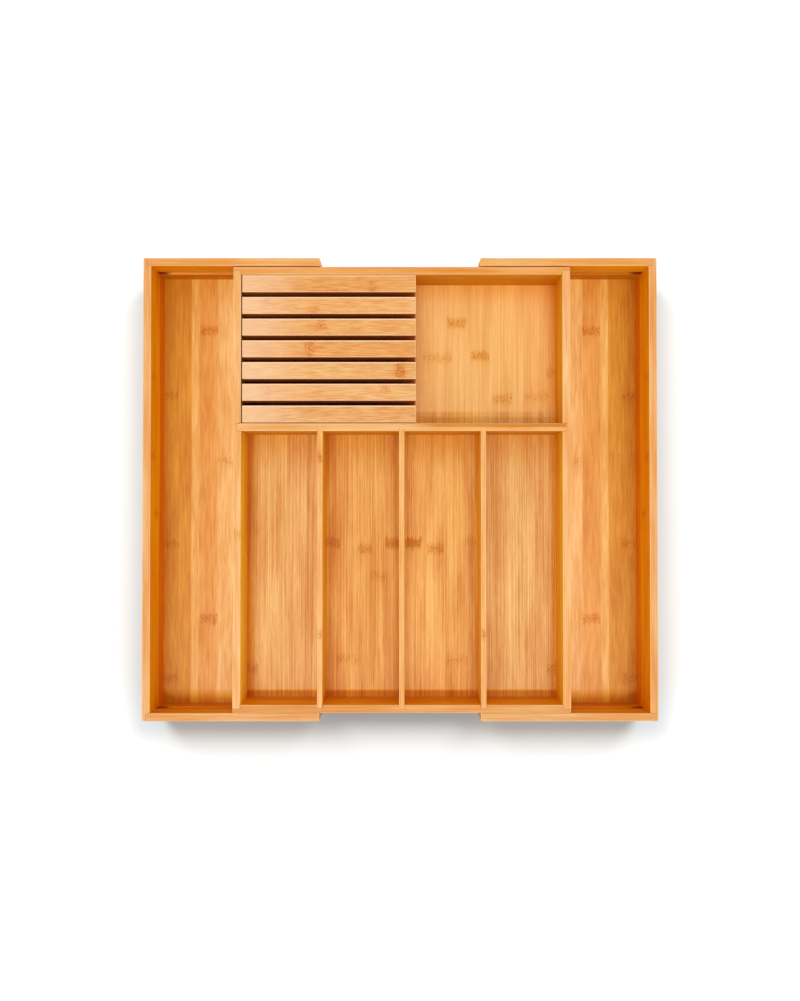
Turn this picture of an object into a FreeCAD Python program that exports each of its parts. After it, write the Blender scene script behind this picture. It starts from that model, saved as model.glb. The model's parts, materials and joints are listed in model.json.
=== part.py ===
import FreeCAD
import Part
import os

# Expandable cutlery tray: a fixed centre tray, a left and a right side tray that slide out from
# under it, and a lift-out knife block. Millimetres, +Z up, +X to the right, +Y to the back.
# The origin is at the bottom centre of the tray as it stands pulled out.

# Whole object
tray_height = 65.0
open_width = 499.0
open_depth = 449.0
wall = 7.7
lap = 4.0                   # what the outer half of a corner joint leaves of the wall
arris = 0.8                 # rounding of the free edges
corner = 1.2                # rounding of the upright outer corners

# Side trays
side_length = 171.5         # end wall to wall tip, along X
side_floor_bottom = 3.0
side_floor = 4.0
side_floor_let_in = 3.0
slide_groove_bottom = 28.0
slide_groove_height = 12.0
slide_groove_depth = 3.9
slide_stop = 8.0            # wood left between the groove and the wall's tip

# Centre tray
centre_offset = 1.65        # how far the centre tray stands to the right of the middle
centre_width = 327.3
back_play = 1.0             # gap behind the centre tray, in front of the side trays' back walls
front_play = 0.3            # the same gap at the front, where the tray is pushed up close
under_play = 0.5            # gap between the side floors and the centre tray
centre_floor_bottom = 14.0
centre_floor = 5.0
centre_floor_let_in = 3.0
cross_divider_front = 55.9
cross_divider_dado = 4.0
divider = 5.2
divider_dado = 2.5
divider_dado_gap = 0.4      # slack of the dado, on the side of the middle
tongue_play = 0.5
tongue_thickness = 3.5
stop_play = 0.4

# Knife block
slat_count = 7
slat_pitch = 21.15
knife_slot = 4.55
block_length = 169.0
block_left_gap = 0.8
block_front_gap = 0.7
block_foot_gap = 0.3
block_below_rim = 0.6
rail_width = 12.0
rail_height = 8.0
rail_spacing = 110.0

# Worked out from the above
half_width = open_width / 2
half_depth = open_depth / 2
side_inner_x = half_width - wall
side_inner_y = half_depth - wall
tip_x = half_width - side_length
side_floor_top = side_floor_bottom + side_floor
slide_groove_top = slide_groove_bottom + slide_groove_height

centre_left = centre_offset - centre_width / 2
centre_right = centre_offset + centre_width / 2
centre_back = side_inner_y - back_play
centre_front = -side_inner_y + front_play
centre_bottom = side_floor_top + under_play
centre_floor_top = centre_floor_bottom + centre_floor
inner_left = centre_left + wall
inner_right = centre_right - wall
inner_back = centre_back - wall
inner_front = centre_front + wall
cross_divider_back = cross_divider_front + wall
compartment = (inner_right - inner_left - 3 * divider) / 4
tongue_length = -centre_left - tip_x - slide_stop - stop_play

slat_width = slat_pitch - knife_slot
block_left = inner_left + block_left_gap
block_right = block_left + block_length
block_front = cross_divider_back + block_front_gap
block_bottom = centre_floor_top + block_foot_gap
block_top = tray_height - block_below_rim
block_depth = slat_pitch * (slat_count - 1) + slat_width
rail_top = block_bottom + rail_height

tolerance = 0.001


def board(x, y, z):
    """A square-edged board between two X, two Y and two Z values."""
    start = FreeCAD.Vector(min(x), min(y), min(z))
    return Part.makeBox(abs(x[1] - x[0]), abs(y[1] - y[0]), abs(z[1] - z[0]), start)


def edges_at(shape, place):
    """The edges that lie wholly at the given x, y or z values."""
    found = []
    for edge in shape.Edges:
        low = {"x": edge.BoundBox.XMin, "y": edge.BoundBox.YMin, "z": edge.BoundBox.ZMin}
        high = {"x": edge.BoundBox.XMax, "y": edge.BoundBox.YMax, "z": edge.BoundBox.ZMax}
        if all(abs(low[axis] - value) < tolerance and abs(high[axis] - value) < tolerance
               for axis, value in place.items()):
            found.append(edge)
    return found


def rounded(shape, radius, places):
    """The shape with a rounding along every edge at the places."""
    edges = [edge for place in places for edge in edges_at(shape, place)]
    return shape.makeFillet(radius, edges)


def side_end_wall():
    """End wall of the left side tray. Its outer half laps over the ends of the two long walls."""
    wall_board = board((-half_width, -side_inner_x), (-half_depth, half_depth), (0, tray_height))
    for end in (-1, 1):
        rabbet = board((-half_width + lap, -side_inner_x), (end * side_inner_y, end * half_depth),
                       (0, tray_height))
        wall_board = wall_board.cut(rabbet)
    let_in = board((-side_inner_x - side_floor_let_in, -side_inner_x), (-side_inner_y, side_inner_y),
                   (side_floor_bottom, side_floor_top))
    wall_board = wall_board.cut(let_in)
    wall_board = rounded(wall_board, corner, [
        {"x": -half_width, "y": -half_depth},
        {"x": -half_width, "y": half_depth}])
    return rounded(wall_board, arris, [
        {"x": -half_width, "z": tray_height},
        {"x": -half_width, "z": 0},
        {"x": -side_inner_x, "z": tray_height}])


def side_long_wall(end):
    """Back (end 1) or front (end -1) wall of the left side tray, with the groove it slides on."""
    outer = end * half_depth
    inner = end * side_inner_y
    start = -half_width + lap
    long_wall = board((start, -tip_x), (inner, outer), (0, tray_height))
    let_in = board((-side_inner_x - side_floor_let_in, -tip_x),
                   (inner, inner + end * side_floor_let_in), (side_floor_bottom, side_floor_top))
    slide_groove = board((-side_inner_x, -tip_x - slide_stop),
                         (inner, inner + end * slide_groove_depth), (slide_groove_bottom, slide_groove_top))
    long_wall = long_wall.cut(let_in).cut(slide_groove)
    long_wall = rounded(long_wall, corner, [{"x": -tip_x, "y": outer}])
    return rounded(long_wall, arris, [
        {"y": outer, "z": tray_height},
        {"y": inner, "z": tray_height},
        {"x": -tip_x, "z": tray_height},
        {"y": outer, "z": 0}])


def side_floor_panel():
    """Floor of the left side tray, let into grooves in its three walls."""
    panel = board((-side_inner_x - side_floor_let_in, -tip_x),
                  (-side_inner_y - side_floor_let_in, side_inner_y + side_floor_let_in),
                  (side_floor_bottom, side_floor_top))
    return rounded(panel, arris, [{"x": -tip_x, "z": side_floor_top}, {"x": -tip_x, "z": side_floor_bottom}])


def centre_cross_wall(end):
    """Back (end 1) or front (end -1) wall of the centre tray. Its outer half runs the full width."""
    outer = centre_back if end > 0 else centre_front
    inner = outer - end * wall
    height = (centre_bottom, tray_height)
    cross_wall = board((centre_left, centre_right), (inner, outer), height)
    for left, right in ((centre_left, inner_left), (inner_right, centre_right)):
        cross_wall = cross_wall.cut(board((left, right), (inner, outer - end * lap), height))
    let_in = board((inner_left, inner_right), (inner, inner + end * centre_floor_let_in),
                   (centre_floor_bottom, centre_floor_top))
    cross_wall = cross_wall.cut(let_in)
    cross_wall = rounded(cross_wall, corner, [
        {"x": centre_left, "y": outer},
        {"x": centre_right, "y": outer}])
    cross_wall = rounded(cross_wall, arris, [
        {"y": outer, "z": tray_height},
        {"y": outer, "z": centre_bottom},
        {"y": inner, "z": tray_height}])
    if end < 0:
        for middle in divider_middles():
            cross_wall = cross_wall.cut(front_dado(middle))
    return cross_wall


def centre_side_wall(end):
    """Right (end 1) or left (end -1) wall of the centre tray, between the laps of the other two."""
    outer = centre_right if end > 0 else centre_left
    inner = outer - end * wall
    side_wall = board((inner, outer), (centre_front + lap, centre_back - lap), (centre_bottom, tray_height))
    let_in = board((inner, inner + end * centre_floor_let_in), (inner_front, inner_back),
                   (centre_floor_bottom, centre_floor_top))
    side_wall = side_wall.cut(let_in)
    side_wall = rounded(side_wall, arris, [
        {"x": outer, "z": tray_height},
        {"x": outer, "z": centre_bottom},
        {"x": inner, "z": tray_height}])
    dado = board((inner, inner + end * cross_divider_dado), (cross_divider_front, cross_divider_back),
                 (centre_floor_top, tray_height))
    return side_wall.cut(dado)


def centre_floor_panel():
    """Floor of the centre tray, let into grooves in its four walls."""
    rough = board((inner_left - centre_floor_let_in, inner_right + centre_floor_let_in),
                  (inner_front - centre_floor_let_in, inner_back + centre_floor_let_in),
                  (centre_floor_bottom, centre_floor_top))
    notch = centre_floor_let_in
    for x in (inner_left - notch, inner_right):
        for y in (inner_front - notch, inner_back):
            rough = rough.cut(board((x, x + notch), (y, y + notch), (centre_floor_bottom, centre_floor_top)))
    return rough


def cross_divider():
    """The wall between the knife compartment and the four long compartments."""
    bar = board((inner_left - cross_divider_dado, inner_right + cross_divider_dado),
                (cross_divider_front, cross_divider_back), (centre_floor_top, tray_height))
    bar = rounded(bar, arris, [
        {"y": cross_divider_front, "z": tray_height},
        {"y": cross_divider_back, "z": tray_height}])
    for middle in divider_middles():
        dado = board((middle - divider / 2, middle + divider / 2),
                     (cross_divider_front, cross_divider_front + divider_dado),
                     (centre_floor_top, tray_height))
        bar = bar.cut(dado)
    return bar


def divider_middles():
    """X of the middle of each of the three thin dividers."""
    pitch = compartment + divider
    return [centre_offset + step * pitch for step in (-1, 0, 1)]


def front_dado(middle):
    """The slot in the centre tray's front wall for the end of one thin divider."""
    left = middle - divider / 2
    right = middle + divider / 2
    if middle < centre_offset - tolerance:
        right += divider_dado_gap
    if middle > centre_offset + tolerance:
        left -= divider_dado_gap
    return board((left, right), (inner_front - divider_dado, inner_front),
                 (centre_floor_top, tray_height))


def thin_divider(middle):
    """One of the three dividers that run from the cross divider to the front wall."""
    bar = board((middle - divider / 2, middle + divider / 2),
                (inner_front - divider_dado, cross_divider_front + divider_dado),
                (centre_floor_top, tray_height))
    return rounded(bar, arris, [
        {"x": middle - divider / 2, "z": tray_height},
        {"x": middle + divider / 2, "z": tray_height}])


def slide_tongue(side, end):
    """A strip glued on the outside of the centre tray that rides in a side tray's groove."""
    start = centre_left if side < 0 else centre_right
    far = start - side * tongue_length
    outer = centre_back if end > 0 else centre_front
    strip = board((start, far), (outer, outer + end * tongue_thickness),
                  (slide_groove_bottom + tongue_play, slide_groove_top - tongue_play))
    return rounded(strip, arris, [
        {"x": start, "y": outer + end * tongue_thickness},
        {"x": far, "y": outer + end * tongue_thickness}])


def knife_slat(number):
    """One slat of the knife block, counted from the back, notched underneath for the two rails."""
    front = block_front + (slat_count - number) * slat_pitch
    back = front + slat_width
    slat = board((block_left, block_right), (front, back), (block_bottom, block_top))
    slat = rounded(slat, arris, [
        {"x": block_left, "y": front},
        {"x": block_left, "y": back},
        {"x": block_right, "y": front},
        {"x": block_right, "y": back},
        {"z": block_top}])
    for middle in rail_middles():
        slat = slat.cut(board((middle - rail_width / 2, middle + rail_width / 2), (front, back),
                              (block_bottom, rail_top)))
    return slat


def rail_middles():
    """X of the middle of the two rails under the knife block."""
    middle = (block_left + block_right) / 2
    return [middle - rail_spacing / 2, middle + rail_spacing / 2]


def knife_rail(middle):
    """A rail that is let into the undersides of all the slats and holds them apart."""
    return board((middle - rail_width / 2, middle + rail_width / 2),
                 (block_front, block_front + block_depth), (block_bottom, rail_top))


def build():
    """Every piece of the tray, by name."""
    pieces = {
        "centre_back_wall": centre_cross_wall(1),
        "centre_front_wall": centre_cross_wall(-1),
        "centre_left_wall": centre_side_wall(-1),
        "centre_right_wall": centre_side_wall(1),
        "centre_floor": centre_floor_panel(),
        "cross_divider": cross_divider()}
    for name, middle in zip(("left_divider", "middle_divider", "right_divider"), divider_middles()):
        pieces[name] = thin_divider(middle)
    for side, side_name in ((-1, "left"), (1, "right")):
        for end, end_name in ((-1, "front"), (1, "back")):
            pieces["slide_tongue_" + end_name + "_" + side_name] = slide_tongue(side, end)

    left_tray = {
        "end_wall": side_end_wall(),
        "back_wall": side_long_wall(1),
        "front_wall": side_long_wall(-1),
        "floor": side_floor_panel()}
    middle_plane = (FreeCAD.Vector(0, 0, 0), FreeCAD.Vector(1, 0, 0))
    for name, shape in left_tray.items():
        pieces["left_" + name] = shape
        pieces["right_" + name] = shape.mirror(*middle_plane)

    for number in range(1, slat_count + 1):
        pieces["knife_slat_" + str(number)] = knife_slat(number)
    for name, middle in zip(("knife_rail_left", "knife_rail_right"), rail_middles()):
        pieces[name] = knife_rail(middle)
    return pieces


def export(pieces):
    """Write each piece to its own file and print its size."""
    os.makedirs("parts", exist_ok=True)
    for name, shape in pieces.items():
        solid = shape.Solids[0]
        box = solid.BoundBox
        print(name, len(shape.Solids), shape.isValid(), round(solid.Volume / 1000, 2), "cm3",
              [round(value, 2) for value in (box.XMin, box.XMax, box.YMin, box.YMax, box.ZMin, box.ZMax)])
        solid.exportStep("parts/" + name + ".step")


export(build())
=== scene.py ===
import json
import math
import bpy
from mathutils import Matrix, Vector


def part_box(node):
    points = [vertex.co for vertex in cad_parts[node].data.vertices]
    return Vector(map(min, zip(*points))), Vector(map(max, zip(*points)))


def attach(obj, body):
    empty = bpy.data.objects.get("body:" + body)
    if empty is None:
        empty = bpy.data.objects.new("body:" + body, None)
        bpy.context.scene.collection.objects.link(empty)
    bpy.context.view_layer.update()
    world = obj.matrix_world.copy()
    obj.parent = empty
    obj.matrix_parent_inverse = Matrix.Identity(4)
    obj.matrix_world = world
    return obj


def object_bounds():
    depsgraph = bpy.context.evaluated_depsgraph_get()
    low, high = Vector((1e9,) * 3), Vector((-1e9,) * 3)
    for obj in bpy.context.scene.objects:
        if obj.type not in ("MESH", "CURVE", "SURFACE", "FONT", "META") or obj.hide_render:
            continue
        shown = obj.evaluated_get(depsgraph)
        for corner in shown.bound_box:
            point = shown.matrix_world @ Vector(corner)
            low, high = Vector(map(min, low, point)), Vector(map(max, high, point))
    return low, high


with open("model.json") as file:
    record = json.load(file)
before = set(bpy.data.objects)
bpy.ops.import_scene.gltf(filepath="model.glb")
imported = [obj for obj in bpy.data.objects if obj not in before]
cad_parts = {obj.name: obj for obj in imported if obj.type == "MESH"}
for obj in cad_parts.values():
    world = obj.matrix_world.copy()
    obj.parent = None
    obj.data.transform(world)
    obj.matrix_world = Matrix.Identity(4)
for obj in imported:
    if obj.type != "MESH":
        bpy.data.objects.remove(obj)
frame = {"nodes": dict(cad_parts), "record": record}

from types import SimpleNamespace

import bpy
from mathutils import Vector

# The tray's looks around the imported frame: bamboo for each board, glue lines at the joints, a white
# studio. Metres, +X to the right, +Y to the back, where the knife block lies.

cadLow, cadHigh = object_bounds()
mm = 0.001
axisNumber = {"X": 0, "Y": 1, "Z": 2}


def linear(shade):
    # a colour written as three numbers from 0 to 255, as the shader wants it
    parts = [value / 255 for value in shade]
    return [value / 12.92 if value < 0.04045 else ((value + 0.055) / 1.055) ** 2.4 for value in parts] + [1.0]


# Node helpers

def addNode(tree, kind, feeds=None, **settings):
    node = tree.nodes.new(kind)
    for name, value in settings.items():
        setattr(node, name, value)
    for name, value in (feeds or {}).items():
        if isinstance(value, bpy.types.NodeSocket):
            tree.links.new(value, node.inputs[name])
        else:
            node.inputs[name].default_value = value
    return node


def maths(tree, operation, *values):
    node = addNode(tree, "ShaderNodeMath", dict(enumerate(values)), operation=operation)
    return node.outputs[0]


def fade(tree, value, start, end, low=0.0, high=1.0):
    # goes smoothly from low at start to high at end
    node = addNode(tree, "ShaderNodeMapRange",
                   {"Value": value, "From Min": start, "From Max": end, "To Min": low, "To Max": high},
                   interpolation_type="SMOOTHSTEP")
    return node.outputs["Result"]


def fadeOver(tree, value, stretch, low=0.0, high=1.0):
    # the same, over a stretch given in millimetres
    return fade(tree, value, stretch[0] * mm, stretch[1] * mm, low, high)


def between(tree, value, low, high):
    # 1 from low to high, which are millimetres, and 0 outside
    return maths(tree, "COMPARE", value, (low + high) / 2 * mm, (high - low) / 2 * mm)


def mixColours(tree, share, first, second, way="MIX"):
    node = addNode(tree, "ShaderNodeMix", {0: share, 6: first, 7: second}, data_type="RGBA", blend_type=way)
    return node.outputs[2]


def tinted(tree, colour, tint, share=1.0):
    # the colour multiplied with a tint, as far as share says
    tint = tint if isinstance(tint, bpy.types.NodeSocket) else (*tint, 1)
    return mixColours(tree, share, colour, tint, "MULTIPLY")


def joined(tree, x, y, z):
    return addNode(tree, "ShaderNodeCombineXYZ", {"X": x, "Y": y, "Z": z}).outputs[0]


def apart(tree, vector):
    return addNode(tree, "ShaderNodeSeparateXYZ", {0: vector}).outputs


def noise(tree, vector, scale, detail=2.0, rough=0.55):
    node = addNode(tree, "ShaderNodeTexNoise",
                   {"Vector": vector, "Scale": scale, "Detail": detail, "Roughness": rough})
    return node.outputs[0]


def startGroup(name, given, made):
    tree = bpy.data.node_groups.new(name, "ShaderNodeTree")
    for label, kind, value in given:
        socket = tree.interface.new_socket(label, in_out="INPUT", socket_type="NodeSocket" + kind)
        if value is not None:
            socket.default_value = value
    for label, kind in made:
        tree.interface.new_socket(label, in_out="OUTPUT", socket_type="NodeSocket" + kind)
    start = tree.nodes.new("NodeGroupInput").outputs
    end = tree.nodes.new("NodeGroupOutput").inputs
    return tree, start, end


def useGroup(tree, group, feeds):
    return addNode(tree, "ShaderNodeGroup", feeds, node_tree=group).outputs


# Shared effects. Board space is X along the grain, Y across the strips and Z through the board.

# shares are how much a pattern counts, scales how fine it is across the grain, and stretches how much
# slower it changes along the grain
fibres = {
    "seamHalf": 0.45, "stripShift": 3.0, "hueSpread": 0.006, "coarseShare": 0.45, "fineShare": 0.35,
    "dashShare": 0.2, "fineScale": 2.4, "dashScale": 1.5, "cloudScale": 45.0, "poreScale": 1700.0,
    "fineStretch": 0.6, "cloudStretch": 0.22, "dashStretch": 0.06, "poreStretch": 0.04,
    "poreShown": (0.62, 0.76), "poreShare": 0.25, "poreDepth": 0.6}


def makeLaminate():
    # strips glued side by side, each a little different, with long fibre streaks in them
    tree, given, made = startGroup("bambooLaminate", [
        ("Vector", "Vector", None), ("Pale", "Color", (1, 1, 1, 1)), ("Deep", "Color", (0.5, 0.5, 0.5, 1)),
        ("Strip Width", "Float", 0.02), ("First Seam", "Float", 0.0), ("Strip Contrast", "Float", 0.4),
        ("Streak Scale", "Float", 500.0), ("Streak Length", "Float", 60.0), ("Streak Contrast", "Float", 0.5),
        ("Cloud Contrast", "Float", 0.3), ("Seed", "Float", 0.0)],
        [("Color", "Color"), ("Seam", "Float"), ("Height", "Float"), ("Streaks", "Float")])
    along, across, through = apart(tree, given["Vector"])
    place = maths(tree, "DIVIDE", maths(tree, "SUBTRACT", across, given["First Seam"]), given["Strip Width"])
    number = maths(tree, "FLOOR", place)
    inStrip = maths(tree, "FRACT", place)
    seamGap = maths(tree, "MULTIPLY", maths(tree, "MINIMUM", inStrip, maths(tree, "SUBTRACT", 1.0, inStrip)),
                    given["Strip Width"])
    seam = fadeOver(tree, seamGap, (fibres["seamHalf"], 0.0))
    chance = addNode(tree, "ShaderNodeTexWhiteNoise", {"W": maths(tree, "ADD", number, given["Seed"])},
                     noise_dimensions="1D")
    stripShade, stripHue, stripShift = addNode(
        tree, "ShaderNodeSeparateColor", {0: chance.outputs["Color"]}).outputs

    # every strip reads the fibres at another place, so that no streak runs on past a seam
    shifted = maths(tree, "MULTIPLY_ADD", stripShift, fibres["stripShift"], given["Seed"])

    def readAt(place, stretch):
        return joined(tree, maths(tree, "MULTIPLY_ADD", place, stretch, shifted), across, through)

    slow = maths(tree, "DIVIDE", along, given["Streak Length"])
    coarseAt = readAt(slow, 1.0)
    fineAt = readAt(slow, fibres["fineStretch"])
    cloudAt = readAt(along, fibres["cloudStretch"])
    dashAt = readAt(along, fibres["dashStretch"])
    coarse = fade(tree, noise(tree, coarseAt, given["Streak Scale"], 1.0, 0.5), 0.3, 0.7)
    fineScale = maths(tree, "MULTIPLY", given["Streak Scale"], fibres["fineScale"])
    fine = fade(tree, noise(tree, fineAt, fineScale, 2.0, 0.6), 0.32, 0.68)
    dashScale = maths(tree, "MULTIPLY", given["Streak Scale"], fibres["dashScale"])
    dashes = fade(tree, noise(tree, dashAt, dashScale, 1.0), 0.3, 0.7)
    cloud = fade(tree, noise(tree, cloudAt, fibres["cloudScale"], 2.0, 0.5), 0.3, 0.7)
    streaks = maths(tree, "MULTIPLY", fine, fibres["fineShare"])
    streaks = maths(tree, "MULTIPLY_ADD", coarse, fibres["coarseShare"], streaks)
    streaks = maths(tree, "MULTIPLY_ADD", dashes, fibres["dashShare"], streaks)

    shade = maths(tree, "MULTIPLY", maths(tree, "SUBTRACT", stripShade, 0.5), given["Strip Contrast"])
    for pattern, contrast in ((streaks, "Streak Contrast"), (cloud, "Cloud Contrast")):
        shade = maths(tree, "MULTIPLY_ADD", maths(tree, "SUBTRACT", pattern, 0.5), given[contrast], shade)
    shade = addNode(tree, "ShaderNodeClamp", {0: maths(tree, "ADD", shade, 0.5)}).outputs[0]
    wood = mixColours(tree, shade, given["Pale"], given["Deep"])
    hue = maths(tree, "MULTIPLY_ADD", maths(tree, "SUBTRACT", stripHue, 0.5), fibres["hueSpread"], 0.5)
    wood = addNode(tree, "ShaderNodeHueSaturation", {"Hue": hue, "Color": wood}).outputs[0]
    poreAt = readAt(along, fibres["poreStretch"])
    pore = fade(tree, noise(tree, poreAt, fibres["poreScale"], 0.0), *fibres["poreShown"])
    wood = mixColours(tree, maths(tree, "MULTIPLY", pore, fibres["poreShare"]), wood, given["Deep"])
    pits = maths(tree, "MULTIPLY", pore, fibres["poreDepth"])
    tree.links.new(wood, made["Color"])
    tree.links.new(seam, made["Seam"])
    tree.links.new(maths(tree, "SUBTRACT", fine, pits), made["Height"])
    tree.links.new(streaks, made["Streaks"])
    return tree


knuckleShape = {
    "speckleScale": 640.0, "speckleStretch": 0.8, "waveScale": 330.0, "waveStretch": 0.2,
    "raggedEnd": 9.0, "raggedSide": 4.0, "side": (0.6, -1.2), "band": (1.4, 0.15), "halo": (4.5, 0.0)}


def makeSpeckle():
    # the grain that knuckle marks are made of, and the raggedness of their ends
    tree, given, made = startGroup("knuckleSpeckle", [("Vector", "Vector", None), ("Seed", "Float", 0.0)],
                                   [("Speckle", "Float"), ("Wave", "Float")])
    look = knuckleShape
    along, across, through = apart(tree, given["Vector"])
    speckleAlong = maths(tree, "MULTIPLY_ADD", along, look["speckleStretch"], given["Seed"])
    waveAlong = maths(tree, "MULTIPLY_ADD", along, look["waveStretch"], given["Seed"])
    speckles = noise(tree, joined(tree, speckleAlong, across, through), look["speckleScale"], 1.5, 0.6)
    wave = noise(tree, joined(tree, waveAlong, across, through), look["waveScale"], 2.0)
    tree.links.new(speckles, made["Speckle"])
    tree.links.new(maths(tree, "SUBTRACT", wave, 0.5), made["Wave"])
    return tree


def makeKnuckle():
    # one knuckle of the cane: a speckled band across a strip, ragged along the grain
    tree, given, made = startGroup("bambooKnuckle", [
        ("Vector", "Vector", None), ("Wave", "Float", 0.0), ("Along", "Float", 0.0), ("Across", "Float", 0.0),
        ("Half Width", "Float", 0.01), ("Half Length", "Float", 0.0065), ("Strength", "Float", 1.0)],
        [("Band", "Float"), ("Halo", "Float")])
    look = knuckleShape
    along, across = apart(tree, given["Vector"])[:2]
    off = maths(tree, "SUBTRACT", along, given["Along"])
    off = maths(tree, "MULTIPLY_ADD", given["Wave"], look["raggedEnd"] * mm, off)
    off = maths(tree, "DIVIDE", maths(tree, "ABSOLUTE", off), given["Half Length"])
    aside = maths(tree, "ABSOLUTE", maths(tree, "SUBTRACT", across, given["Across"]))
    aside = maths(tree, "SUBTRACT", aside, given["Half Width"])
    aside = maths(tree, "MULTIPLY_ADD", given["Wave"], look["raggedSide"] * mm, aside)
    inside = maths(tree, "MULTIPLY", fadeOver(tree, aside, look["side"]), given["Strength"])
    tree.links.new(maths(tree, "MULTIPLY", fade(tree, off, *look["band"]), inside), made["Band"])
    tree.links.new(maths(tree, "MULTIPLY", fade(tree, off, *look["halo"]), inside), made["Halo"])
    return tree


def makeEdges():
    # how near a point is to an edge of its board, from the board's own size
    tree, given, made = startGroup("boardEdges", [
        ("Vector", "Vector", None), ("Size", "Vector", None), ("Reach", "Float", 0.0012)],
        [("Edge", "Float")])

    def vectorMaths(operation, *values):
        return addNode(tree, "ShaderNodeVectorMath", dict(enumerate(values)), operation=operation).outputs[0]

    half = vectorMaths("MULTIPLY", given["Size"], (0.5, 0.5, 0.5))
    fromMiddle = vectorMaths("ABSOLUTE", vectorMaths("SUBTRACT", given["Vector"], half))
    x, y, z = apart(tree, vectorMaths("SUBTRACT", half, fromMiddle))
    nearest = maths(tree, "MINIMUM", x, y)
    farther = maths(tree, "MAXIMUM", x, y)
    middle = maths(tree, "MAXIMUM", nearest, maths(tree, "MINIMUM", farther, z))
    tree.links.new(fade(tree, middle, given["Reach"], 0.0), made["Edge"])
    return tree


endFibres = {"scale": 1250.0, "spread": 0.9, "facing": (0.55, 0.8), "dot": (0.42, 0.2)}


def makeEndGrain():
    # the cut ends of the fibres, where a face looks along the grain
    tree, given, made = startGroup("endGrain", [
        ("Vector", "Vector", None), ("Facing", "Float", 0.0)], [("End", "Float"), ("Dots", "Float")])
    across, through = apart(tree, given["Vector"])[1:]
    section = joined(tree, 0.0, across, through)
    dots = addNode(tree, "ShaderNodeTexVoronoi", {
        "Vector": section, "Scale": endFibres["scale"], "Randomness": endFibres["spread"]})
    end = fade(tree, maths(tree, "ABSOLUTE", given["Facing"]), *endFibres["facing"])
    dot = maths(tree, "MULTIPLY", fade(tree, dots.outputs["Distance"], *endFibres["dot"]), end)
    tree.links.new(end, made["End"])
    tree.links.new(dot, made["Dots"])
    return tree


varnishLook = {"patchScale": 35.0, "patches": 0.16, "streaks": 0.06, "edge": 0.08}


def makeVarnish():
    # how the clear satin coat takes the light, a little uneven and duller where hands wear it
    tree, given, made = startGroup("satinVarnish", [
        ("Vector", "Vector", None), ("Streaks", "Float", 0.5), ("Edge", "Float", 0.0),
        ("Base", "Float", 0.42)], [("Roughness", "Float")])
    look = varnishLook
    patches = maths(tree, "SUBTRACT", noise(tree, given["Vector"], look["patchScale"], 3.0), 0.5)
    rough = maths(tree, "MULTIPLY_ADD", patches, look["patches"], given["Base"])
    rough = maths(tree, "MULTIPLY_ADD", given["Streaks"], look["streaks"], rough)
    rough = maths(tree, "MULTIPLY_ADD", given["Edge"], look["edge"], rough)
    tree.links.new(rough, made["Roughness"])
    return tree


laminate = makeLaminate()
speckle = makeSpeckle()
knuckle = makeKnuckle()
boardEdges = makeEdges()
endGrain = makeEndGrain()
varnish = makeVarnish()
print("shared shader groups made")

# What a user would change in each kind of board. Colours are 0 to 255, sizes are millimetres, and a
# tint is what a colour is multiplied with. Planks give the places across a board where tints change.

wallWood = {
    "pale": (253, 202, 138), "deep": (238, 162, 85), "strip": 20.3, "firstSeam": 4.2, "seam": 0.3,
    "stripContrast": 0.1, "streakScale": 640.0, "streakLength": 45.0, "streakContrast": 1.1,
    "cloudContrast": 0.6, "dots": 0.8, "smudge": 0.35, "dotTint": (0.78, 0.5, 0.14),
    "smudgeTint": (0.88, 0.7, 0.34)}
endWallWood = {
    **wallWood,
    "planks": ((0.0, (0.96, 0.89, 0.8)), (22.0, (0.97, 0.91, 0.82)), (24.5, (0.86, 0.74, 0.62)),
               (27.0, (1.02, 1.04, 1.0)), (36.0, (1.02, 1.04, 1.0)), (39.0, (0.97, 0.94, 0.9)),
               (62.0, (0.95, 0.92, 0.9)), (65.0, (1.0, 1.0, 1.0)))}
dividerWood = {**wallWood, "streakScale": 680.0, "smudge": 0.6}
sideFloorWood = {
    "pale": (252, 184, 104), "deep": (226, 144, 58), "strip": 20.0, "firstSeam": -2.0, "seam": 0.15,
    "stripContrast": 0.08, "streakScale": 420.0, "streakLength": 12.0, "streakContrast": 0.95,
    "cloudContrast": 0.5, "dots": 0.8, "smudge": 0.25, "dotTint": (0.8, 0.54, 0.12),
    "smudgeTint": (0.92, 0.78, 0.42),
    # the first stops, up to 5.4 mm from the end wall, are painted shade in the corner; the others are planks
    "planks": ((0.0, (0.92, 0.62, 0.1)), (3.6, (0.9, 0.64, 0.12)), (5.4, (0.78, 0.76, 0.22)),
               (30.4, (0.81, 0.8, 0.26)), (31.9, (1.03, 1.35, 1.44)), (38.4, (1.03, 1.35, 1.44)),
               (39.4, (0.92, 0.95, 0.84)), (57.0, (0.94, 0.98, 0.88)),
               (58.0, (1.05, 1.41, 1.95)), (80.0, (1.05, 1.43, 2.0)))}
centreFloorWood = {
    "pale": (252, 196, 121), "deep": (214, 131, 54), "strip": 20.0, "firstSeam": 3.0, "seam": 0.12,
    "stripContrast": 0.24, "streakScale": 880.0, "streakLength": 120.0, "streakContrast": 1.15,
    "cloudContrast": 0.42, "dots": 0.75, "smudge": 0.5, "dotTint": (0.74, 0.5, 0.1),
    "smudgeTint": (0.86, 0.68, 0.16)}
slatWood = {
    "pale": (253, 202, 138), "deep": (228, 148, 70), "strip": 60.0, "firstSeam": -5.0, "seam": 0.3,
    "stripContrast": 0.1, "streakScale": 1000.0, "streakLength": 18.0, "streakContrast": 1.25,
    "cloudContrast": 0.2, "dots": 0.85, "smudge": 0.3, "dotTint": (0.8, 0.52, 0.2),
    "smudgeTint": (0.94, 0.7, 0.34)}
innerWood = {
    "pale": (238, 172, 104), "deep": (206, 128, 58), "strip": 20.3, "firstSeam": 0.0, "seam": 0.3,
    "stripContrast": 0.2, "streakScale": 520.0, "streakLength": 40.0, "streakContrast": 0.8,
    "cloudContrast": 0.4}

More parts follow.
